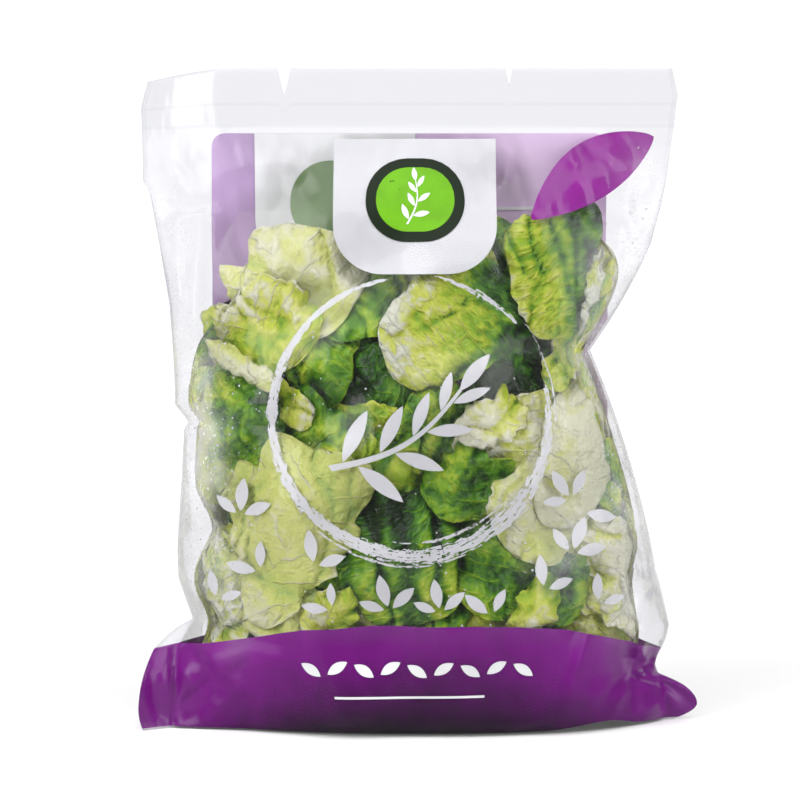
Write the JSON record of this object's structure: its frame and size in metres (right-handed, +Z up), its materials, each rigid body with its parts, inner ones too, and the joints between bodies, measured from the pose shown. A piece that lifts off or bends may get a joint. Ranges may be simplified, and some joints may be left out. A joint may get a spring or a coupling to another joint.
{
  "type": "bag of salad leaves",
  "caption": "Clear sealed film bag filled with mixed green lettuce leaves, with a flat top header and a folded base.",
  "frame": {"origin": "on the floor, in the middle of the flat base, below the middle of the side welds", "axes": "+Z is up, towards the sealed header, -Y is the printed front and +X is the right as the front is seen"},
  "size_m": [0.2424, 0.1009, 0.282],
  "materials": {
    "clear_film": "clear glossy film",
    "purple_print": "glossy ink on film",
    "white_print": "opaque white ink on film",
    "lettuce_leaf": "fresh crinkled leaf",
    "water_drops": "clear water"
  },
  "bodies": {
    "root": {"salad_bag": "clear_film"}
  },
  "joints": []
}
